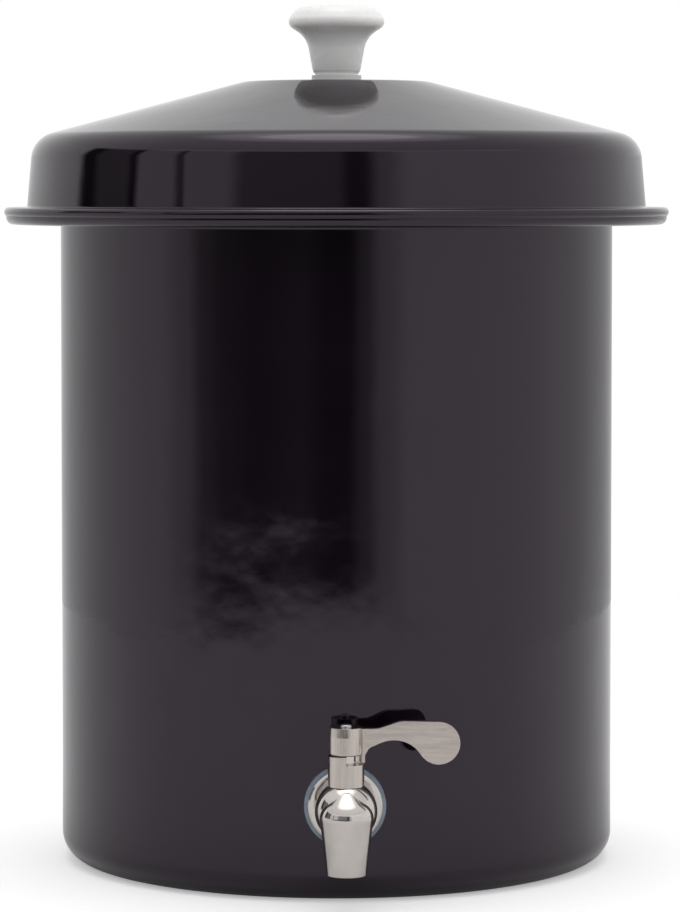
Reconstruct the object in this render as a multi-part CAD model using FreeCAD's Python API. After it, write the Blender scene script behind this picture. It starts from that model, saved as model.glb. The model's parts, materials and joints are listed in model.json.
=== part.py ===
import FreeCAD, Part
import math
import os

from FreeCAD import Rotation, Vector

# Gravity water filter with tap. Millimetres, +Z up, the tap faces -Y.
# The origin is the centre of the ring that the receptacle stands on.

# Clearances shared by several seats
seat_gap = 0.2      # between stacked pieces that lift off each other
slip_gap = 0.05     # radial, between a hole and the round piece in it
bolt_gap = 0.3      # radial, between a bolt or thread and a drilled hole

# Receptacle: a stamped and enamelled steel pail
sheet = 1.2
body_radius = 150.0
rim_height = 349.6
base_corner = 15.0
stand_width = 23.0          # of the standing ring's flat, inside the base corner
base_lift = 3.0
base_step = 6.0
base_step_fillet = 4.0
mouth_bend = 4.8
flange_width = 29.5
bead_width = 5.0
bead_height = 4.5
bead_lower_round = 2.4
bead_upper_round = 1.5

# Lid: a stamped cone with a skirt that closes over the clay pot's rim
lid_gap = 0.3
brim_overhang = 1.0         # past the pail's flange
brim_width = 12.3
brim_bead_height = 4.4
brim_bend = 4.0
skirt_draft = 5.0
cone_slope = 15.0
crown_radius = 50.0
lid_rise = 68.3     # from the top of the brim to the flat crown
shoulder_round = 15.0
crown_round = 20.0

# Knob and its fastening
knob_height = 38.6
knob_radius = 26.7
knob_edge_height = 27.2     # of the widest edge above the knob's base
knob_cap_round = 9.0
knob_edge_round = 2.2
knob_dome = 2.4
knob_neck_radius = 16.3
knob_neck_height = 20.2
knob_neck_round = 14.0
knob_foot_radius = 12.9
knob_foot_height = 2.4
knob_base_radius = 11.3
knob_washer_radius = 13.5
knob_washer_thickness = 3.4
knob_screw_radius = 2.5
knob_screw_reach = 9.5      # of thread inside the insert
screw_head_radius = 4.75
screw_head_height = 3.2
screw_head_round = 1.4
slot_width = 1.2
slot_depth = 1.6
insert_radius = 4.5
insert_length = 12.0
knob_hole_spare = 2.0
lid_washer_radius = 8.0
lid_washer_thickness = 1.0
lid_seal_radius = 8.6
lid_seal_thickness = 1.5

# Support ring: a moulded ring between the clay rim and the steel flange
ring_plate = 2.0
ring_skirt_gap = 3.0        # between the ring and the lid's skirt
ring_upstand = 5.0
ring_wall = 1.8
ring_lip_depth = 9.5
ring_lip_clearance = 1.2    # between the lip and the receptacle's wall

# Clay filter pot
clay_rim_gap = 1.2          # between the rim and the ring's upstand
clay_rim_height = 20.0
clay_rim_round = 6.0
clay_wall = 15.0
clay_floor = 17.0
clay_depth = 238.0          # from the rim's top to the underside
clay_taper = 36.6           # of the outer radius, from the rim down to the base
clay_base_round = 32.0
clay_shoulder_clearance = 1.2
clay_inner_round = 22.0
clay_mouth_round = 5.0

# Tap: body with threaded shank, flange, ball and spout
tap_height = 50.4
shank_radius = 8.0
shank_end = 20.0            # past the receptacle's inner face
inlet_radius = 4.5
inlet_depth = 5.0           # how far the wide inlet stops short of the valve
port_radius = 3.2
outlet_radius = 5.0
tap_flange_radius = 19.0
tap_flange_thickness = 2.6
tap_flange_bevel = 0.8
front_gasket_radius = 20.9
front_gasket_thickness = 3.0
ball_radius = 15.9
ball_reach = 15.0           # of the ball's centre in front of the gasket's face
spout_reach = 8.0           # of the spout's axis in front of the ball's centre
spout_drop = 31.1
spout_tip_radius = 10.2
spout_tip_round = 0.8
spout_belly_radius = 14.0
spout_belly_height = 1.6    # of the belly's corner above the shank's axis
spout_belly_round = 10.0
spout_crown_radius = 3.6
spout_crown_round = 3.0
spout_crown_gap = 1.3       # under the bonnet
spout_bore_radius = 7.6
spout_bore_top = 11.5       # below the shank's axis

# Tap valve: plug, sleeve, packing and bonnet
bonnet_radius = 9.2
bonnet_bottom = 12.5        # above the shank's axis
bonnet_height = 15.8
bonnet_chamfer = 0.4
bonnet_spigot_radius = 7.5
bonnet_spigot_depth = 3.0
notch_depth = 4.2
stop_clearance_angle = 0.8
plug_radius = 5.3
plug_below = 6.5            # of the plug below the shank's axis
plug_collar_radius = 7.0
plug_collar_height = 1.8
plug_bore_radius = 3.6
plug_bore_spare = 0.8      # above the port
sleeve_wall = 1.1
stem_radius = 4.8
stem_flat = 3.6             # from the stem's axis to the drive flat
packing_wall = 1.5
packing_height = 2.8

# Tap lever
hub_radius = 8.7
hub_top_radius = 8.4
hub_height = 14.1
hub_gap = 0.3
hub_foot_round = 1.2
hub_socket_depth = 11.0
hub_bite = 1.15             # of hub wall between the stem and the arm's root
arm_thickness = 5.0
arm_depth = 9.6             # of the arm between its top and bottom edges
arm_top_drop = 0.7          # of the arm's root below the hub's top
arm_length = 46.8           # from the hub's axis to the paddle's centre
arm_crest_rise = 0.4        # of the arm's crest above the paddle's top
arm_heel = 4.0              # of the arm's foot beside the hub, below its bottom edge
paddle_neck = 3.4           # of straight bottom edge before the paddle
paddle_radius = 10.8
paddle_drop = 8.1           # of the paddle's centre below the hub's top
lever_travel = 80.0         # degrees, closed to open
stop_half_width = 1.3
stop_depth = 3.6
stop_inner_radius = 7.7
stop_outer_radius = 9.5
cap_screw_radius = 1.5
cap_screw_length = 9.0
cap_screw_head_radius = 2.9
cap_screw_head_height = 1.5

# Tap fastening inside the receptacle
inner_gasket_radius = 15.5
inner_gasket_thickness = 2.5
backing_washer_radius = 14.5
backing_washer_thickness = 1.2
nut_across_flats = 24.0
nut_height = 7.0
nut_chamfer_radius = 12.9

# Heights and places worked out from the sizes above
inner_radius = body_radius - sheet
stand_inner_radius = body_radius - base_corner - stand_width
flange_radius = body_radius + flange_width
brim_radius = flange_radius + brim_overhang
skirt_radius = brim_radius - brim_width
ring_outer_radius = skirt_radius - sheet - ring_skirt_gap
clay_rim_radius = ring_outer_radius - ring_wall - clay_rim_gap
clay_shoulder_radius = inner_radius - ring_lip_clearance - ring_wall - clay_shoulder_clearance
clay_base_radius = clay_shoulder_radius - clay_taper
lid_brim_top = rim_height + lid_gap + brim_bead_height
lid_top = lid_brim_top + lid_rise
knob_base = lid_top + knob_washer_thickness
ring_bottom = rim_height + seat_gap
ring_top = ring_bottom + ring_plate
clay_rim_bottom = ring_top + seat_gap
clay_top = clay_rim_bottom + clay_rim_height
clay_bottom = clay_top - clay_depth
gasket_face = -body_radius - front_gasket_thickness
flange_face = gasket_face - tap_flange_thickness
valve_y = gasket_face - ball_reach
spout_y = valve_y - spout_reach
spout_tip = tap_height - spout_drop
bonnet_base = tap_height + bonnet_bottom
bonnet_top = bonnet_base + bonnet_height
hub_bottom = bonnet_top + hub_gap
hub_top = hub_bottom + hub_height
collar_top = bonnet_base - bonnet_spigot_depth - seat_gap
collar_bottom = collar_top - plug_collar_height
plug_bottom = tap_height - plug_below
sleeve_radius = plug_radius + slip_gap + sleeve_wall
chamber_floor = tap_height - spout_bore_top
arm_root = stem_radius + slip_gap + hub_bite
tap_axis = Vector(0, valve_y, 0)
spout_axis = Vector(0, spout_y, 0)


def rounded_loop(corners, plane="XZ"):
    """A closed wire through (a, b, fillet) corners, with a tangent arc at each corner that has a fillet."""

    def place(a, b):
        return Vector(a, 0, b) if plane == "XZ" else Vector(a, b, 0)

    count = len(corners)
    starts, mids, ends = [], [], []
    for i, (a, b, fillet) in enumerate(corners):
        here = place(a, b)
        before = place(*corners[i - 1][:2]) - here
        after = place(*corners[(i + 1) % count][:2]) - here
        before.normalize()
        after.normalize()
        half = before.getAngle(after) / 2
        reach = fillet / math.tan(half) if fillet else 0.0
        bisector = before + after
        if fillet:
            bisector.normalize()
            sag = fillet / math.sin(half) - fillet
        starts.append(here + before * reach)
        mids.append(here + bisector * sag if fillet else here)
        ends.append(here + after * reach)
    edges = []
    for i in range(count):
        if corners[i][2]:
            edges.append(Part.Arc(starts[i], mids[i], ends[i]).toShape())
        following = starts[(i + 1) % count]
        if ends[i].distanceToPoint(following) > 1e-6:
            edges.append(Part.LineSegment(ends[i], following).toShape())
    return Part.Wire(Part.__sortEdges__(edges))


def turned(corners, axis_at=Vector(0, 0, 0)):
    """A solid of revolution about a vertical axis, from (radius, height, fillet) corners."""
    solid = Part.Face(rounded_loop(corners)).revolve(Vector(0, 0, 0), Vector(0, 0, 1), 360)
    solid = Part.Solid(solid) if solid.ShapeType == "Shell" else solid
    solid.translate(axis_at)
    return solid


def offset_path(path, thickness):
    """The path moved sideways by thickness, to the left of its direction, with its fillets to suit."""
    moved = []
    for i, (a, b, fillet) in enumerate(path):
        here = Vector(a, b, 0)
        back = here - Vector(*path[i - 1][:2], 0) if i else None
        ahead = Vector(*path[i + 1][:2], 0) - here if i + 1 < len(path) else None
        back = back or ahead
        ahead = ahead or back
        into = Vector(-back.y, back.x, 0).normalize()
        out = Vector(-ahead.y, ahead.x, 0).normalize()
        middle = (into + out).normalize()
        shift = middle * (thickness / middle.dot(into))
        turn = back.x * ahead.y - back.y * ahead.x
        side = -1 if turn > 0 else 1
        moved.append((a + shift.x, b + shift.y, fillet + side * thickness if fillet else 0))
    return moved


def tube(radius, bore, length, start=0.0):
    """A plain ring about the Z axis."""
    ring = Part.makeCylinder(radius, length, Vector(0, 0, start))
    return ring.cut(Part.makeCylinder(bore, length, Vector(0, 0, start)))


def along_y(radius, y_from, y_to):
    """A cylinder on the tap's shank axis between two places along Y."""
    low, high = min(y_from, y_to), max(y_from, y_to)
    return Part.makeCylinder(radius, high - low, Vector(0, low, tap_height), Vector(0, 1, 0))


def upright(radius, bottom, top, axis=tap_axis):
    """A cylinder on one of the tap's vertical axes."""
    return Part.makeCylinder(radius, top - bottom, axis + Vector(0, 0, bottom))


# Receptacle
def make_receptacle():
    """Pail with a lifted base, a turned-out flange and a beaded edge, drilled for the tap."""
    outside = [
        (0, base_lift, 0),
        (stand_inner_radius - base_step, base_lift, base_step_fillet),
        (stand_inner_radius, 0, base_step_fillet),
        (body_radius, 0, base_corner),
        (body_radius, rim_height - sheet, mouth_bend),
        (flange_radius - bead_width, rim_height - sheet, 0),
    ]
    inside = offset_path(outside, sheet)
    bead = [
        (flange_radius - bead_width, rim_height - bead_height, 0),
        (flange_radius, rim_height - bead_height, bead_lower_round),
        (flange_radius, rim_height, bead_upper_round),
    ]
    pail = turned(outside + bead + inside[-2::-1])
    return pail.cut(along_y(shank_radius + bolt_gap, -body_radius - 1, -inner_radius + 8))


# Lid and knob
def make_lid():
    """Cone with a flat crown, a drafted skirt and a brim with its edge turned down."""
    draft = math.tan(math.radians(skirt_draft))
    slope = math.tan(math.radians(cone_slope))
    # The cone z = lid_top - (r - crown_radius) * slope meets the skirt r = skirt_radius - (z - lid_brim_top) * draft
    shoulder_radius = (skirt_radius - (lid_rise + crown_radius * slope) * draft) / (1 - slope * draft)
    shoulder_height = lid_top - (shoulder_radius - crown_radius) * slope
    outside = [
        (brim_radius, lid_brim_top, 0),
        (skirt_radius, lid_brim_top, brim_bend),
        (shoulder_radius, shoulder_height, shoulder_round),
        (crown_radius, lid_top, crown_round),
        (knob_screw_radius + bolt_gap, lid_top, 0),
    ]
    inside = offset_path(outside, sheet)
    brim_inner = brim_radius - bead_width
    bead = [
        (brim_inner, lid_brim_top - sheet, 0),
        (brim_inner, lid_brim_top - brim_bead_height, 0),
        (brim_radius, lid_brim_top - brim_bead_height, bead_lower_round),
    ]
    edge = (brim_radius, lid_brim_top, bead_upper_round)
    return turned([edge] + outside[1:] + inside[:0:-1] + bead)


def make_knob():
    """Mushroom knob with a blind hole for its insert."""
    hole_top = knob_base + insert_length + knob_hole_spare
    hole_radius = insert_radius + slip_gap
    top = knob_base + knob_height
    cap_radius = knob_radius - 4.3
    outline = [
        (0, top, 0),
        (cap_radius, top - knob_dome, knob_cap_round),
        (knob_radius + 0.7, knob_base + knob_edge_height, knob_edge_round),
        (knob_neck_radius, knob_base + knob_neck_height, knob_neck_round),
        (knob_foot_radius, knob_base + knob_foot_height, 0),
        (knob_base_radius, knob_base, 0),
        (hole_radius, knob_base, 0),
        (hole_radius, hole_top, 0),
        (0, hole_top, 0),
    ]
    return turned(outline)


def make_knob_seat_washer():
    return tube(knob_washer_radius, knob_screw_radius + bolt_gap, knob_washer_thickness, lid_top)


def make_knob_insert():
    return tube(insert_radius, knob_screw_radius + slip_gap, insert_length, knob_base)


def make_lid_seal_washer():
    bottom = lid_top - sheet - lid_seal_thickness
    return tube(lid_seal_radius, knob_screw_radius + bolt_gap, lid_seal_thickness, bottom)


def make_screw_washer():
    bottom = lid_top - sheet - lid_seal_thickness - lid_washer_thickness
    return tube(lid_washer_radius, knob_screw_radius + bolt_gap, lid_washer_thickness, bottom)


def cross_slot(radius, width, depth, bottom):
    """Two crossed slots, to cut a screwdriver recess upwards from bottom."""
    one = Part.makeBox(2 * radius, width, depth, Vector(-radius, -width / 2, bottom))
    other = Part.makeBox(width, 2 * radius, depth, Vector(-width / 2, -radius, bottom))
    return one.fuse(other)


def make_knob_screw():
    """Pan-head screw from inside the lid up into the knob's insert."""
    seat = lid_top - sheet - lid_seal_thickness - lid_washer_thickness
    head_bottom = seat - screw_head_height
    tip = knob_base + knob_screw_reach
    screw = turned([
        (0, head_bottom, 0),
        (screw_head_radius, head_bottom, screw_head_round),
        (screw_head_radius, seat, 0),
        (knob_screw_radius, seat, 0),
        (knob_screw_radius, tip - 0.8, 0),
        (knob_screw_radius - 0.8, tip, 0),
        (0, tip, 0),
    ])
    recess = cross_slot(screw_head_radius * 0.55, slot_width, slot_depth, head_bottom)
    return screw.cut(recess)


# Support ring and clay pot
def make_support_ring():
    """Ring with an outer upstand round the clay rim and an inner lip inside the receptacle's mouth."""
    lip_radius = inner_radius - ring_lip_clearance
    return turned([
        (lip_radius - ring_wall, ring_bottom - ring_lip_depth, 0.6),
        (lip_radius, ring_bottom - ring_lip_depth, 0.6),
        (lip_radius, ring_bottom, 0),
        (ring_outer_radius, ring_bottom, 0.6),
        (ring_outer_radius, ring_top + ring_upstand, 0.6),
        (ring_outer_radius - ring_wall, ring_top + ring_upstand, 0.6),
        (ring_outer_radius - ring_wall, ring_top, 0),
        (lip_radius - ring_wall, ring_top, 0.8),
    ])


def make_clay_filter():
    """Flowerpot-shaped clay filter that hangs by its thick rim."""
    outer_height = clay_rim_bottom - clay_bottom
    slant = clay_taper / outer_height
    inner_floor = clay_bottom + clay_floor
    inner_base = clay_base_radius + clay_floor * slant - clay_wall
    inner_mouth = inner_base + (clay_top - inner_floor) * slant
    return turned([
        (0, clay_bottom, 0),
        (clay_base_radius, clay_bottom, clay_base_round),
        (clay_shoulder_radius, clay_rim_bottom, 0),
        (clay_rim_radius, clay_rim_bottom, clay_rim_round / 3),
        (clay_rim_radius, clay_top, clay_rim_round),
        (inner_mouth, clay_top, clay_mouth_round),
        (inner_base, inner_floor, clay_inner_round),
        (0, inner_floor, 0),
    ])


# Tap body
def make_tap_body():
    """One casting: threaded shank, flange, ball, neck and spout, bored for the valve."""
    shank = along_y(shank_radius, gasket_face, -inner_radius + shank_end)
    disc = along_y(tap_flange_radius, gasket_face, flange_face + tap_flange_bevel)
    bevel = Part.makeCone(
        tap_flange_radius, tap_flange_radius - tap_flange_bevel, tap_flange_bevel,
        Vector(0, flange_face + tap_flange_bevel, tap_height), Vector(0, -1, 0),
    )
    ball = Part.makeSphere(ball_radius, tap_axis + Vector(0, 0, tap_height))
    ball = ball.common(along_y(2 * ball_radius, gasket_face - 0.5, gasket_face - 4 * ball_radius))
    neck = upright(bonnet_radius, tap_height, bonnet_base)
    crown = bonnet_base - spout_crown_gap
    spout = turned([
        (0, spout_tip, 0),
        (spout_tip_radius, spout_tip, spout_tip_round),
        (spout_belly_radius, tap_height + spout_belly_height, spout_belly_round),
        (spout_crown_radius, crown, spout_crown_round),
        (0, crown, 0),
    ], spout_axis)
    body = shank.fuse([disc, bevel, ball, neck, spout])
    front = valve_y - 3 * ball_radius
    above = Part.makeBox(
        4 * ball_radius, flange_face - front, 2 * ball_radius, Vector(-2 * ball_radius, front, bonnet_base)
    )
    inlet_end = valve_y + sleeve_radius + inlet_depth
    holes = [
        above,
        along_y(inlet_radius, -inner_radius + shank_end, inlet_end),
        along_y(port_radius, inlet_end, valve_y),
        upright(sleeve_radius + slip_gap, plug_bottom - seat_gap, collar_bottom),
        upright(outlet_radius, chamber_floor, plug_bottom),
        upright(bonnet_spigot_radius + slip_gap, collar_bottom, bonnet_base),
        upright(spout_bore_radius, spout_tip, chamber_floor, spout_axis),
    ]
    return body.cut(holes).removeSplitter()


# Tap valve
def make_valve_sleeve():
    """Soft liner round the plug, with the inlet port through its back."""
    sleeve = upright(sleeve_radius, plug_bottom, collar_bottom - seat_gap)
    sleeve = sleeve.cut(upright(plug_radius + slip_gap, plug_bottom, collar_bottom))
    return sleeve.cut(along_y(port_radius, valve_y, valve_y + 2 * sleeve_radius))


def make_valve_plug():
    """Hollow plug with a side port, a collar under the bonnet and a flatted stem up into the lever."""
    stem_top = hub_bottom + hub_socket_depth
    plug = upright(plug_radius, plug_bottom, collar_bottom)
    collar = upright(plug_collar_radius, collar_bottom, collar_top)
    stem = upright(stem_radius, collar_top, stem_top)
    flat = Part.makeBox(
        2 * stem_radius, stem_radius, hub_socket_depth,
        Vector(-stem_radius, valve_y + stem_flat, hub_bottom),
    )
    body = plug.fuse([collar, stem]).cut(flat)
    bore = upright(plug_bore_radius, plug_bottom, tap_height + port_radius + plug_bore_spare)
    port = Part.makeCylinder(port_radius, 2 * plug_radius, Vector(0, valve_y, tap_height), Vector(-1, 0, 0))
    tapped = upright(cap_screw_radius + slip_gap, stem_top - cap_screw_length, stem_top)
    return body.cut([bore, port, tapped]).removeSplitter()


def make_stem_packing():
    """Packing ring in the bonnet's pocket, on top of the plug's collar."""
    bottom = collar_top + seat_gap
    ring = upright(stem_radius + slip_gap + packing_wall, bottom, bottom + packing_height)
    return ring.cut(upright(stem_radius + slip_gap, bottom, bottom + packing_height))


def sector(radius, bottom, top, angle_from, angle_to):
    """A pie slice on the valve's axis; angles in degrees from +X, towards +Y."""
    slice_ = Part.makeCylinder(
        radius, top - bottom, Vector(0, 0, bottom), Vector(0, 0, 1), angle_to - angle_from
    )
    slice_.rotate(Vector(0, 0, 0), Vector(0, 0, 1), angle_from)
    slice_.translate(tap_axis)
    return slice_


def make_tap_bonnet():
    """Screwed cap over the valve, notched at its top for the lever's quarter-turn stop."""
    spigot_bottom = bonnet_base - bonnet_spigot_depth
    bonnet = turned([
        (0, bonnet_base, 0),
        (bonnet_radius, bonnet_base, bonnet_chamfer),
        (bonnet_radius, bonnet_top, bonnet_chamfer),
        (0, bonnet_top, 0),
    ], tap_axis)
    bonnet = bonnet.fuse(upright(bonnet_spigot_radius, spigot_bottom, bonnet_base))
    pocket_top = spigot_bottom + packing_height + seat_gap
    tab_angle = math.degrees(math.asin(stop_half_width / stop_inner_radius)) + stop_clearance_angle
    notch = sector(2 * bonnet_radius, bonnet_top - notch_depth, bonnet_top + 1, -lever_travel - tab_angle, tab_angle)
    holes = [
        upright(stem_radius + slip_gap, spigot_bottom, bonnet_top),
        upright(stem_radius + slip_gap + packing_wall + slip_gap, spigot_bottom, pocket_top),
        notch,
    ]
    return bonnet.cut(holes).removeSplitter()


def tangent_point(start, centre, radius):
    """Where the line from start touches the circle, on the side to the left of the way to its centre."""
    away = math.hypot(start[0] - centre[0], start[1] - centre[1])
    angle = math.atan2(start[1] - centre[1], start[0] - centre[0]) + math.acos(radius / away)
    return centre[0] + radius * math.cos(angle), centre[1] + radius * math.sin(angle)


def half_turn(before, here, after):
    """Tangent of half the angle that a path turns through at here."""
    into = math.atan2(here[1] - before[1], here[0] - before[0])
    out = math.atan2(after[1] - here[1], after[0] - here[0])
    return math.tan(abs(out - into) / 2)


# Lever
def make_tap_lever():
    """Hub with a curved arm and a round paddle, and a tab that runs in the bonnet's notch."""
    hub = turned([
        (0, hub_bottom, 0),
        (hub_radius, hub_bottom, hub_foot_round),
        (hub_radius, hub_top - hub_height / 3, 0),
        (hub_top_radius, hub_top, 0),
        (0, hub_top, 0),
    ], tap_axis)
    paddle_height = hub_top - paddle_drop
    arm_crest = paddle_height + paddle_radius + arm_crest_rise
    arm_foot = arm_crest - arm_depth
    span = arm_length - hub_radius
    bend = (arm_length - paddle_radius - paddle_neck, arm_foot)
    touch = tangent_point(bend, (arm_length, paddle_height), paddle_radius)
    foot = (hub_radius + 0.31 * span, arm_foot)
    heel = (hub_radius + 0.07 * span, arm_foot - arm_heel)
    # One radius for both bends of the bottom edge, which nearly takes up the straight between them
    sweep = 0.97 * (bend[0] - foot[0]) / (half_turn(heel, foot, bend) + half_turn(foot, bend, touch))
    web = Part.Face(rounded_loop([
        (arm_root, hub_top - arm_top_drop, 0),
        (hub_radius + 0.19 * span, hub_top - arm_top_drop, 0.32 * span),
        (hub_radius + 0.49 * span, arm_crest, 0.37 * span),
        (arm_length, paddle_height + paddle_radius, 0),
        (arm_length, paddle_height, 0),
        (*touch, 0),
        (*bend, sweep),
        (*foot, sweep),
        (*heel, 0.1 * span),
        (stop_outer_radius, hub_bottom, 0),
        (arm_root, hub_bottom, 0),
    ]))
    web.translate(Vector(0, valve_y + arm_thickness / 2, 0))
    arm = web.extrude(Vector(0, -arm_thickness, 0))
    paddle = Part.makeCylinder(
        paddle_radius, arm_thickness,
        Vector(arm_length, valve_y + arm_thickness / 2, paddle_height), Vector(0, -1, 0),
    )
    tab = Part.makeBox(
        stop_outer_radius - stop_inner_radius, 2 * stop_half_width, stop_depth + hub_gap + 4,
        Vector(stop_inner_radius, valve_y - stop_half_width, hub_bottom - hub_gap - stop_depth),
    )
    lever = hub.fuse([arm.fuse(paddle).removeSplitter(), tab]).removeSplitter()
    socket_top = hub_bottom + hub_socket_depth + seat_gap
    socket = upright(stem_radius + slip_gap, hub_bottom, socket_top)
    key = Part.makeBox(
        4 * stem_radius, 2 * stem_radius, hub_height,
        Vector(-2 * stem_radius, valve_y + stem_flat + slip_gap, hub_bottom),
    )
    screw_hole = upright(cap_screw_radius + bolt_gap, hub_bottom, hub_top + 1)
    return lever.cut([socket.cut(key), screw_hole])


def make_lever_screw():
    """Round-headed screw through the hub's roof into the stem."""
    tip = hub_top - cap_screw_length
    return turned([
        (0, tip, 0),
        (cap_screw_radius, tip, 0),
        (cap_screw_radius, hub_top, 0),
        (cap_screw_head_radius, hub_top, 0),
        (cap_screw_head_radius, hub_top + cap_screw_head_height, cap_screw_head_height * 0.8),
        (0, hub_top + cap_screw_head_height, 0),
    ], tap_axis)


# Tap fastening
def make_tap_front_gasket():
    """Soft washer that takes up the curve between the round wall and the flat flange."""
    disc = along_y(front_gasket_radius, gasket_face, -body_radius + front_gasket_thickness)
    foot = Vector(0, 0, tap_height - 2 * front_gasket_radius)
    wall = Part.makeCylinder(body_radius + slip_gap, 4 * front_gasket_radius, foot)
    hole = along_y(shank_radius + slip_gap, gasket_face - 1, -body_radius + front_gasket_thickness)
    return disc.cut([wall, hole])


def make_tap_inner_gasket():
    """Soft washer against the inside of the wall, flat on the nut's side."""
    nut_side = -inner_radius + inner_gasket_thickness
    disc = along_y(inner_gasket_radius, -body_radius, nut_side)
    foot = Vector(0, 0, tap_height - 2 * inner_gasket_radius)
    room = Part.makeCylinder(inner_radius - slip_gap, 4 * inner_gasket_radius, foot)
    hole = along_y(shank_radius + slip_gap, -body_radius - 1, nut_side)
    return disc.common(room).cut(hole)


def make_tap_backing_washer():
    start = -inner_radius + inner_gasket_thickness
    disc = along_y(backing_washer_radius, start, start + backing_washer_thickness)
    return disc.cut(along_y(shank_radius + slip_gap, start, start + backing_washer_thickness))


def make_tap_nut():
    """Hexagon nut on the shank, with its corners chamfered."""
    start = -inner_radius + inner_gasket_thickness + backing_washer_thickness
    corner_radius = nut_across_flats / 2 / math.cos(math.radians(30))
    corners = [
        Vector(corner_radius * math.sin(math.radians(60 * i)), start,
               tap_height + corner_radius * math.cos(math.radians(60 * i)))
        for i in range(7)
    ]
    hexagon = Part.Face(Part.makePolygon(corners)).extrude(Vector(0, nut_height, 0))
    cone = Part.makeCone(
        nut_chamfer_radius + nut_height, nut_chamfer_radius, nut_height,
        Vector(0, start, tap_height), Vector(0, 1, 0),
    )
    return hexagon.common(cone).cut(along_y(shank_radius + slip_gap, start, start + nut_height))


nodes = {
    "receptacle": make_receptacle,
    "tap_body": make_tap_body,
    "tap_bonnet": make_tap_bonnet,
    "valve_sleeve": make_valve_sleeve,
    "valve_plug": make_valve_plug,
    "stem_packing": make_stem_packing,
    "tap_lever": make_tap_lever,
    "lever_screw": make_lever_screw,
    "tap_front_gasket": make_tap_front_gasket,
    "tap_inner_gasket": make_tap_inner_gasket,
    "tap_backing_washer": make_tap_backing_washer,
    "tap_nut": make_tap_nut,
    "support_ring": make_support_ring,
    "clay_filter": make_clay_filter,
    "lid": make_lid,
    "knob": make_knob,
    "knob_insert": make_knob_insert,
    "knob_seat_washer": make_knob_seat_washer,
    "lid_seal_washer": make_lid_seal_washer,
    "screw_washer": make_screw_washer,
    "knob_screw": make_knob_screw,
}

os.makedirs("parts", exist_ok=True)
for name, make in nodes.items():
    shape = make()
    print(f"{name:20s} {shape.ShapeType:9s} valid {shape.isValid()} solids {len(shape.Solids)} volume {shape.Volume:.1f}")
    shape.exportStep(os.path.join("parts", name + ".step"))
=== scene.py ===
import json
import math

import bpy
from mathutils import Matrix, Vector


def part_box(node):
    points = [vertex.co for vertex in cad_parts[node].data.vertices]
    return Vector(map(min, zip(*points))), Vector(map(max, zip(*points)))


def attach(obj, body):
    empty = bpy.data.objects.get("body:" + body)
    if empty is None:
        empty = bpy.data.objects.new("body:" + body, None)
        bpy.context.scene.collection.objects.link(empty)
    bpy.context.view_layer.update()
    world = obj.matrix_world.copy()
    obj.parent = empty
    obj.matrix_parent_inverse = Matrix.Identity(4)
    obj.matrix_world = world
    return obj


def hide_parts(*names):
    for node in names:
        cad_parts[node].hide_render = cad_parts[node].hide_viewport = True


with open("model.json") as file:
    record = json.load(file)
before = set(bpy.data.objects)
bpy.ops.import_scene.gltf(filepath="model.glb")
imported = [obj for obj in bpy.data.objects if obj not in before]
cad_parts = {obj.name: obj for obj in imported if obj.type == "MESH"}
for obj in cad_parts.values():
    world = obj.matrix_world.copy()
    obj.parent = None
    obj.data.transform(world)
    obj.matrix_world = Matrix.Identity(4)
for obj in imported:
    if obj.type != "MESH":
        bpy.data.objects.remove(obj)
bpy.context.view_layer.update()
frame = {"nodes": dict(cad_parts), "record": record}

# Sizes in metres, the same as the solids' up to the brim's roundings
sheet = 0.0012
body_radius = 0.150
base_corner = 0.015
stand_inner_radius = 0.112
base_lift = 0.003
base_step = 0.006
base_step_fillet = 0.004
mouth_bend = 0.0048
bead_width = 0.005
pail_bead_height = 0.0045
lid_bead_height = 0.0044
brim_width = 0.0123
skirt_draft = math.radians(5)
cone_slope = math.radians(15)
crown_radius = 0.050
shoulder_round = 0.015
crown_round = 0.020
lid_hole_radius = 0.0028

# Roundings of the brim and its two beads
brim_bend = 0.0012
lid_bead_round = 0.0022
lid_bead_flat = 0.0014      # upright part of the lid's bead, above its taper
lid_bead_rest = 0.00025     # how far the lid's bead hangs below the solid's, to rest on the pail
pail_bead_round = 0.0038
bead_inner_round = 0.0006
seam_round = 0.0001         # where the lid's bead meets the pail's

# Knob
knob_cap_radius = 0.0216
knob_dome = 0.0016
knob_cap_round = 0.010
knob_edge_radius = 0.0276
knob_edge_drop = 0.0106     # of the widest edge below the top
knob_edge_round = 0.0042
knob_neck_radius = 0.0162
knob_neck_drop = 0.0182
knob_neck_round = 0.014
knob_foot_radius = 0.0129
knob_foot_height = 0.0024
knob_foot_round = 0.0009
knob_base_radius = 0.0113
knob_hole_radius = 0.00455
knob_hole_depth = 0.014

# Places read from the frame
rim_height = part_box("receptacle")[1][2]
flange_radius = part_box("receptacle")[1][0]
lid_low, lid_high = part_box("lid")
brim_radius = lid_high[0]
brim_top = lid_low[2] + lid_bead_height
lid_top = lid_high[2]
skirt_radius = brim_radius - brim_width
knob_base, knob_top = (corner[2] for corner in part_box("knob"))

# Steps of round surfaces, and how near two points count as one
turn_steps = 240
arc_step = math.radians(6)
nearly_none = 1e-7


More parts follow.
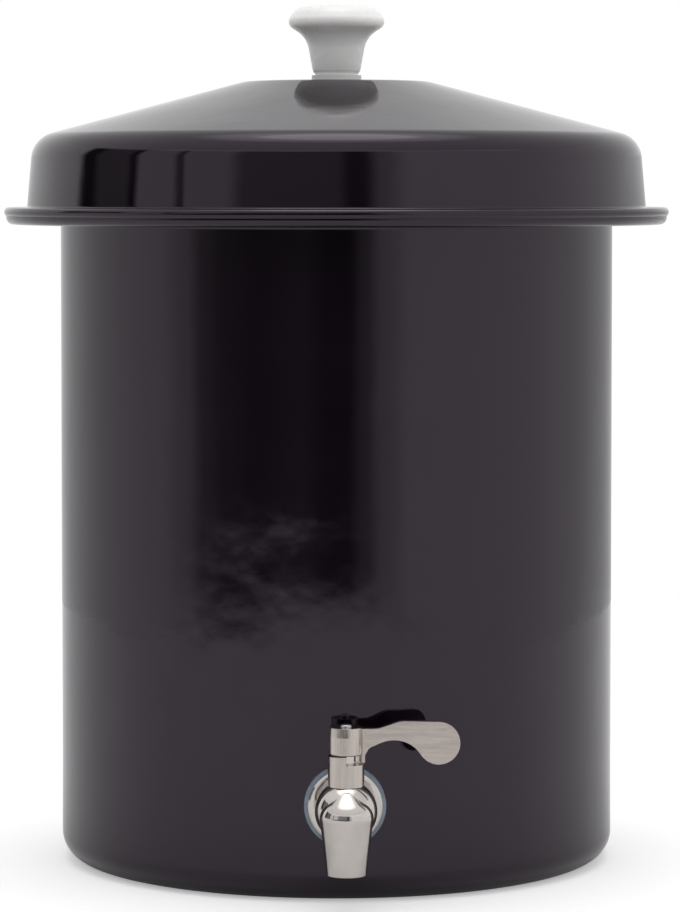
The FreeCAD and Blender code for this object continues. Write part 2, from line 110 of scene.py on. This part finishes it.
# Surfaces of revolution
def rounded(corners):
    """Points along (r, z, fillet) corners, each with the normals before and after it.

    The normals point to the right of the way.
    """
    points = []
    count = len(corners)
    for i, (r, z, fillet) in enumerate(corners):
        here = Vector((r, z))
        back = (Vector(corners[i - 1][:2]) - here).normalized()
        ahead = (Vector(corners[(i + 1) % count][:2]) - here).normalized()
        if not fillet:
            points.append((here, Vector((-back.y, back.x)), Vector((ahead.y, -ahead.x))))
            continue
        half = back.angle(ahead) / 2
        centre = here + (back + ahead).normalized() * (fillet / math.sin(half))
        sweep = math.pi - 2 * half
        steps = max(2, math.ceil(sweep / arc_step))
        side = 1 if (-back).cross(ahead) > 0 else -1
        start = here + back * (fillet / math.tan(half)) - centre
        for k in range(steps + 1):
            spoke = start.copy()
            spoke.rotate(Matrix.Rotation(side * sweep * k / steps, 2))
            normal = spoke.normalized() * side
            points.append((centre + spoke, normal, normal))
    return points


def offset(path, thickness):
    """An open path moved sideways by thickness, to the left of its direction, with its fillets to suit."""
    moved = []
    for i, (r, z, fillet) in enumerate(path):
        here = Vector((r, z))
        back = here - Vector(path[i - 1][:2]) if i else None
        ahead = Vector(path[i + 1][:2]) - here if i + 1 < len(path) else None
        back = back or ahead
        ahead = ahead or back
        into = Vector((-back.y, back.x)).normalized()
        out = Vector((-ahead.y, ahead.x)).normalized()
        middle = (into + out).normalized()
        shift = middle * (thickness / middle.dot(into))
        side = -1 if back.cross(ahead) > 0 else 1
        moved.append((r + shift.x, z + shift.y, fillet + side * thickness if fillet else 0))
    return moved


def turned(flat, k):
    """A point or normal of the profile, at step k of the turn."""
    angle = 2 * math.pi * k / turn_steps
    return Vector((flat.x * math.cos(angle), flat.x * math.sin(angle), flat.y))


def revolve(name, corners):
    """A closed mesh of revolution about Z, with exact normals."""
    points = rounded(corners)
    verts, rings = [], []
    for point, _, _ in points:
        count = 1 if abs(point.x) < nearly_none else turn_steps
        rings.append((len(verts), count))
        verts += [turned(point, k) for k in range(count)]
    faces, normals = [], []
    for i, (point, _, out) in enumerate(points):
        following = (i + 1) % len(points)
        end, into, _ = points[following]
        (first, first_count), (second, second_count) = rings[i], rings[following]
        if first_count == second_count == 1 or (end - point).length < nearly_none:
            continue
        for k in range(turn_steps):
            ahead = k + 1
            loop = [
                (first + k % first_count, out, k),
                (first + ahead % first_count, out, ahead),
                (second + ahead % second_count, into, ahead),
                (second + k % second_count, into, k),
            ]
            if first_count == 1:
                loop.pop(1)
            if second_count == 1:
                loop.pop(2)
            faces.append([vert for vert, _, _ in loop])
            normals += [turned(flat, step) for _, flat, step in loop]
    mesh = bpy.data.meshes.new(name)
    mesh.from_pydata(verts, [], faces)
    mesh.polygons.foreach_set("use_smooth", [True] * len(faces))
    mesh.normals_split_custom_set(normals)
    piece = bpy.data.objects.new(name, mesh)
    bpy.context.scene.collection.objects.link(piece)
    return piece


def stands_for(piece, body, node, material):
    """Show the piece, with its material, in place of a node of the frame."""
    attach(piece, body)
    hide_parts(node)
    piece.data.materials.append(material)


# Materials
class Nodes:
    """A node tree, with short calls for the nodes used here."""

    def __init__(self, tree, coordinates):
        self.tree = tree
        self.place = self.add("ShaderNodeTexCoord").outputs[coordinates]

    def feed(self, socket, value):
        """Link an output to the socket, or set the socket's own value."""
        if isinstance(value, bpy.types.NodeSocket):
            self.tree.links.new(value, socket)
        else:
            socket.default_value = value

    def add(self, kind, **values):
        """A new node. Names in lower case set its properties, and the others feed its sockets."""
        node = self.tree.nodes.new(kind)
        for key, value in values.items():
            if key.islower():
                setattr(node, key, value)
            else:
                self.feed(node.inputs[key.replace("_", " ")], value)
        return node

    def ramp(self, value, stops, interpolation="LINEAR"):
        node = self.add("ShaderNodeValToRGB", Fac=value)
        node.color_ramp.interpolation = interpolation
        elements = node.color_ramp.elements
        for i, (at, colour) in enumerate(stops):
            element = elements[i] if i < len(elements) else elements.new(at)
            element.position = at
            element.color = (*colour, 1)
        return node.outputs["Color"]

    def span(self, value, low, high, low_to=0, high_to=1):
        """The value's range from low to high, spread over another range."""
        node = self.add(
            "ShaderNodeMapRange", Value=value, From_Min=low, From_Max=high, To_Min=low_to, To_Max=high_to)
        return node.outputs["Result"]

    def maths(self, operation, first, second):
        node = self.add("ShaderNodeMath", operation=operation)
        self.feed(node.inputs[0], first)
        self.feed(node.inputs[1], second)
        return node.outputs[0]

    def mix(self, kind, factor, first, second):
        """A blend of two vectors or two colours."""
        first_input, output = {"VECTOR": (4, 1), "RGBA": (6, 2)}[kind]
        node = self.add("ShaderNodeMix", data_type=kind, Factor=factor)
        self.feed(node.inputs[first_input], first)
        self.feed(node.inputs[first_input + 1], second)
        return node.outputs[output]


class Material(Nodes):
    """A material, with short calls for its textures."""

    def __init__(self, name):
        self.material = bpy.data.materials.new(name)
        self.material.use_nodes = True
        super().__init__(self.material.node_tree, "Object")
        self.shader = self.tree.nodes["Principled BSDF"]

    def stretched(self, scale):
        return self.add("ShaderNodeMapping", Scale=scale, Vector=self.place).outputs["Vector"]

    def noise(self, scale, detail=2.0, roughness=0.5, place=None):
        node = self.add(
            "ShaderNodeTexNoise", Scale=scale, Detail=detail, Roughness=roughness, Vector=place or self.place)
        return node.outputs["Fac"]

    def mottled(self, dark, light, **texture):
        """Two tones in patches of noise."""
        return self.ramp(self.noise(**texture), [(0.3, dark), (0.7, light)])

    def uneven(self, low, high, **texture):
        """A value that wanders between two with noise."""
        return self.span(self.noise(**texture), 0.3, 0.7, low, high)

    def bump(self, height, depth, below=None):
        node = self.add("ShaderNodeBump", Distance=depth, Strength=1.0, Height=height)
        if below:
            self.feed(node.inputs["Normal"], below)
        return node.outputs["Normal"]

    def soft_edges(self, radius):
        return self.add("ShaderNodeBevel", samples=6, Radius=radius).outputs["Normal"]

    def set(self, **values):
        for key, value in values.items():
            self.feed(self.shader.inputs[key.replace("_", " ")], value)
        return self.material


def enamel():
    """Glossy purple-black enamel: shallow waves of the sheet, ripples, a fine orange peel and dull specks."""
    m = Material("black_enamel")
    waves = m.bump(m.noise(scale=9.0, detail=1.0), depth=0.0010)
    ripples = m.bump(m.noise(scale=34.0), depth=0.00013, below=waves)
    peel = m.bump(m.noise(scale=260.0), depth=0.000005, below=ripples)
    colour = m.mottled((0.0032, 0.0018, 0.0036), (0.0046, 0.0028, 0.0052), scale=30.0, detail=3.0)
    dull = m.span(m.noise(scale=55.0, detail=4.0, roughness=0.6), 0.35, 0.75, 0.035, 0.075)
    purple = (0.97, 0.82, 1.0, 1.0)
    return m.set(Base_Color=colour, Roughness=dull, Normal=peel, IOR=1.53, Specular_Tint=purple)


def polished_steel():
    """Polished stainless casting: soft waves and a little variation of gloss and tint."""
    m = Material("polished_steel")
    tone = m.mottled((0.55, 0.51, 0.48), (0.65, 0.61, 0.58), scale=90.0, detail=3.0)
    dull = m.uneven(0.05, 0.11, scale=420.0, detail=3.0)
    waves = m.bump(m.noise(scale=150.0, detail=1.0), depth=0.00010, below=m.soft_edges(0.0003))
    fine = m.bump(m.noise(scale=2600.0), depth=0.0000015, below=waves)
    return m.set(Base_Color=tone, Metallic=1.0, Roughness=dull, Normal=fine)


def brushed_steel(name, tint, roughness, stretch, scratch, edge, turned_within=0.0):
    """Turned or brushed metal: fine scratches that run one way, and the other way as far as turned_within."""
    m = Material(name)
    place = m.stretched(stretch)
    if turned_within:
        out = m.add("ShaderNodeSeparateXYZ", Vector=m.place).outputs["X"]
        within = m.span(out, turned_within, turned_within + 0.001, 1, 0)
        place = m.mix("VECTOR", within, place, m.stretched(stretch[::-1]))
    lines = m.noise(scale=1.0, detail=4.0, roughness=0.6, place=place)
    dark = [0.80 * part for part in tint]
    colour = m.mottled(dark, tint, scale=0.16, place=place)
    dull = m.span(lines, 0.3, 0.7, 0.75 * roughness, 1.25 * roughness)
    scratches = m.bump(lines, depth=scratch, below=m.soft_edges(edge))
    return m.set(Base_Color=colour, Metallic=1.0, Roughness=dull, Normal=scratches)


def glazed_white():
    """White satin knob with a faintly uneven tone and gloss."""
    m = Material("knob_white")
    colour = m.mottled((0.91, 0.90, 0.875), (0.94, 0.93, 0.91), scale=45.0, detail=3.0)
    dull = m.uneven(0.20, 0.30, scale=120.0, detail=3.0)
    waves = m.bump(m.noise(scale=40.0, detail=1.0), depth=0.00003)
    return m.set(Base_Color=colour, Roughness=dull, Normal=waves)


def moulded(name, dark, light, roughness, grain):
    """Moulded plastic or rubber with a fine grain."""
    m = Material(name)
    colour = m.mottled(dark, light, scale=50.0, detail=4.0)
    dull = m.uneven(0.85 * roughness, 1.15 * roughness, scale=300.0, detail=3.0)
    surface = m.bump(m.noise(scale=1800.0, detail=3.0), depth=grain)
    return m.set(Base_Color=colour, Roughness=dull, Normal=surface)


def silicone():
    """Blue-grey silicone with a soft gloss."""
    m = Material("silicone")
    colour = m.mottled((0.20, 0.25, 0.31), (0.27, 0.33, 0.40), scale=140.0, detail=3.0)
    dull = m.uneven(0.22, 0.36, scale=500.0)
    surface = m.bump(m.noise(scale=900.0), depth=0.00001)
    return m.set(Base_Color=colour, Roughness=dull, Normal=surface, IOR=1.41)


def terracotta():
    """Unglazed clay: turning lines, pores and a mottled tone."""
    m = Material("terracotta")
    lines = m.noise(scale=1.0, detail=3.0, place=m.stretched((3.0, 3.0, 420.0)))
    pores = m.noise(scale=900.0, detail=4.0, roughness=0.65)
    colour = m.ramp(m.noise(scale=22.0, detail=5.0, roughness=0.6), [
        (0.25, (0.36, 0.135, 0.066)), (0.5, (0.46, 0.19, 0.095)), (0.75, (0.56, 0.27, 0.15)),
    ])
    dull = m.span(pores, 0.3, 0.7, 0.82, 0.98)
    surface = m.bump(pores, depth=0.00012, below=m.bump(lines, depth=0.0003))
    return m.set(Base_Color=colour, Roughness=dull, Normal=surface)


turned_marks = {"stretch": (900.0, 900.0, 900.0), "scratch": 0.000004, "edge": 0.00015}
warm_steel = (0.60, 0.54, 0.50)
looks = {
    "enamel": enamel(),
    "tap_steel": polished_steel(),
    "fastener_steel": brushed_steel("turned_steel", (0.60, 0.59, 0.58), 0.28, **turned_marks),
    "clay": terracotta(),
    "knob_white": glazed_white(),
    "washer_white": moulded("washer_white", (0.86, 0.86, 0.84), (0.90, 0.90, 0.88), 0.45, 0.00002),
    "ring_plastic": moulded("ring_plastic", (0.018, 0.018, 0.020), (0.028, 0.028, 0.030), 0.5, 0.00003),
    "silicone": silicone(),
    "brass": brushed_steel("turned_brass", (0.72, 0.50, 0.20), 0.25, **turned_marks),
    "valve_liner": moulded("valve_liner", (0.70, 0.70, 0.67), (0.78, 0.78, 0.75), 0.4, 0.00001),
}
own_looks = {
    "tap_lever": brushed_steel(
        "lever_steel", warm_steel, 0.22, (190.0, 190.0, 2600.0), 0.000005, 0.00045, turned_within=0.0086),
    "tap_bonnet": brushed_steel("bonnet_steel", warm_steel, 0.20, (1500.0, 1500.0, 90.0), 0.000005, 0.0003),
}

for entry in frame["record"]["subparts"]:
    mesh = frame["nodes"][entry["node"]].data
    mesh.materials.clear()
    mesh.materials.append(own_looks.get(entry["node"], looks[entry["material_slot"]]))


# Pail, lid and knob
def make_pail():
    """Straight wall, lifted base, rounded corner, turned-out flange and beaded edge."""
    outside = [
        (0, base_lift, 0),
        (stand_inner_radius - base_step, base_lift, base_step_fillet),
        (stand_inner_radius, 0, base_step_fillet),
        (body_radius, 0, base_corner),
        (body_radius, rim_height - sheet, mouth_bend),
        (flange_radius - bead_width, rim_height - sheet, 0),
    ]
    bead_bottom = rim_height - pail_bead_height
    bead = [
        (flange_radius - bead_width, bead_bottom, bead_inner_round),
        (flange_radius, bead_bottom, pail_bead_round),
        (flange_radius, rim_height, seam_round),
    ]
    inside = offset(outside, sheet)
    return revolve("pail", outside + bead + inside[-2::-1])


def make_lid():
    """Brim with its edge turned down, drafted skirt and shallow cone with a flat crown."""
    draft, slope = math.tan(skirt_draft), math.tan(cone_slope)
    rise = lid_top - brim_top
    shoulder_radius = (skirt_radius - (rise + crown_radius * slope) * draft) / (1 - slope * draft)
    shoulder_height = lid_top - (shoulder_radius - crown_radius) * slope
    outside = [
        (brim_radius, brim_top, 0),
        (skirt_radius, brim_top, brim_bend),
        (shoulder_radius, shoulder_height, shoulder_round),
        (crown_radius, lid_top, crown_round),
        (lid_hole_radius, lid_top, 0),
    ]
    bead_bottom = brim_top - lid_bead_height - lid_bead_rest
    bead = [
        (brim_radius - bead_width, brim_top - sheet, 0),
        (brim_radius - bead_width, bead_bottom, bead_inner_round),
        (flange_radius + seam_round / 2, bead_bottom, seam_round),
        (brim_radius, brim_top - lid_bead_round - lid_bead_flat, lid_bead_round),
    ]
    edge = (brim_radius, brim_top, lid_bead_round)
    return revolve("lid_shell", [edge] + outside[1:] + offset(outside, sheet)[:0:-1] + bead)


def make_knob():
    """Mushroom knob with a soft edge, hollow for its insert."""
    return revolve("knob_cap", [
        (0, knob_top, 0),
        (knob_cap_radius, knob_top - knob_dome, knob_cap_round),
        (knob_edge_radius, knob_top - knob_edge_drop, knob_edge_round),
        (knob_neck_radius, knob_top - knob_neck_drop, knob_neck_round),
        (knob_foot_radius, knob_base + knob_foot_height, knob_foot_round),
        (knob_base_radius, knob_base, 0),
        (knob_hole_radius, knob_base, 0),
        (knob_hole_radius, knob_base + knob_hole_depth, 0),
        (0, knob_base + knob_hole_depth, 0),
    ])


stands_for(make_pail(), "pail", "receptacle", looks["enamel"])
stands_for(make_lid(), "cover", "lid", looks["enamel"])
stands_for(make_knob(), "cover", "knob", looks["knob_white"])

# Floor
floor_radius = 1.30
floor_thickness = 0.01
floor_lift = 0.38           # light added where the camera sees the floor
floor_shine = 0.04          # and where a shiny piece does
floor = revolve("floor", [
    (0, -floor_thickness, 0),
    (floor_radius, -floor_thickness, 0),
    (floor_radius, 0, 0),
    (0, 0, 0),
])


def studio_floor():
    """Pale floor that shows white to the camera and keeps its shadows."""
    m = Material("studio_floor")
    colour = m.mottled((0.74, 0.74, 0.735), (0.77, 0.77, 0.765), scale=3.0)
    rays = m.add("ShaderNodeLightPath").outputs
    lift = m.span(rays["Is Camera Ray"], 0, 1, 0, floor_lift)
    for ray, amount in (("Is Glossy Ray", floor_shine), ("Is Transmission Ray", floor_lift)):
        lift = m.maths("MAXIMUM", lift, m.span(rays[ray], 0, 1, 0, amount))
    return m.set(Base_Color=colour, Roughness=0.9, Emission_Color=(1, 1, 1, 1), Emission_Strength=lift)


floor.data.materials.append(studio_floor())


# Light
def studio_world():
    """White surroundings, with a dark opening in front of the object, a little to its left."""
    world = bpy.data.worlds.new("studio")
    bpy.context.scene.world = world
    world.use_nodes = True
    n = Nodes(world.node_tree, "Generated")
    parts = n.add("ShaderNodeSeparateXYZ", Vector=n.place).outputs
    azimuth = n.maths("ARCTAN2", parts["X"], n.maths("MULTIPLY", parts["Y"], -1.0))
    turn = n.maths("ADD", n.maths("DIVIDE", azimuth, 2 * math.pi), 0.5)
    height = parts["Z"]

    def around(stops):
        """Brightness by the angle from straight in front, in degrees to the right."""
        return n.ramp(turn, [(degrees / 360 + 0.5, (value,) * 3) for degrees, value in stops], "EASE")

    level = around([
        (-180, 0.72), (-152, 0.72), (-128, 0.78), (-104, 0.78), (-80, 0.80), (-66, 0.55), (-57, 0.20),
        (-48, 0.10), (-34, 0.06), (-16, 0.09), (-4, 0.04), (3, 0.04), (10, 0.22), (18, 0.60), (30, 0.90),
        (60, 0.92), (96, 0.84), (125, 0.72), (147, 0.63), (180, 0.63),
    ])
    raised = around([
        (-180, 0.90), (-113.5, 0.90), (-108, 0.02), (-104, 0.02), (-98, 0.18), (-85, 0.20), (-83.5, 0.03),
        (-81, 0.03), (-79, 0.70), (-64, 0.74), (-62.5, 0.20), (-60.5, 0.20), (-59, 0.72), (-44, 0.70),
        (-36, 0.26), (-2, 0.24), (4, 0.05), (8, 0.06), (15, 0.50), (26, 0.90), (180, 0.90),
    ])
    overhead = [(0.86, (0.90,) * 3), (0.95, (1.8,) * 3), (0.975, (3.2,) * 3)]
    front_sky = n.ramp(height, [(0.42, (1.30, 1.40, 1.70)), (0.50, (0.80, 0.80, 0.81))] + overhead, "EASE")
    back_sky = n.ramp(height, [(0.50, (0.84,) * 3)] + overhead, "EASE")
    sky = n.mix("RGBA", n.span(parts["Y"], -0.35, -0.15), front_sky, back_sky)
    below = n.mix("RGBA", n.span(height, -0.120, -0.103), (0.80, 0.80, 0.80, 1), level)
    sides = n.mix("RGBA", n.span(height, 0.01, 0.06), below, raised)
    whole = n.mix("RGBA", n.span(height, 0.40, 0.46), sides, sky)
    seen = n.add("ShaderNodeLightPath").outputs["Is Camera Ray"]
    n.feed(n.tree.nodes["Background"].inputs["Color"], n.mix("RGBA", seen, whole, (1, 1, 1, 1)))


studio_world()

# Camera
camera_distance = 2.10
camera_height = 0.367
camera_turn = math.radians(-1.70)
camera_pitch = math.radians(2.6)
camera_lens = 151.9
camera_shift = -0.1068
view_centre = Vector((0.0019, 0, 0))
camera = bpy.data.objects.new("camera", bpy.data.cameras.new("camera"))
bpy.context.scene.collection.objects.link(camera)
camera.data.lens = camera_lens
camera.data.shift_y = camera_shift
camera.location = view_centre + Vector((
    camera_distance * math.sin(camera_turn),
    -camera_distance * math.cos(camera_turn),
    camera_height,
))
camera.rotation_euler = (math.pi / 2 - camera_pitch, 0, camera_turn)
bpy.context.scene.camera = camera
bpy.context.scene.view_settings.view_transform = "Standard"
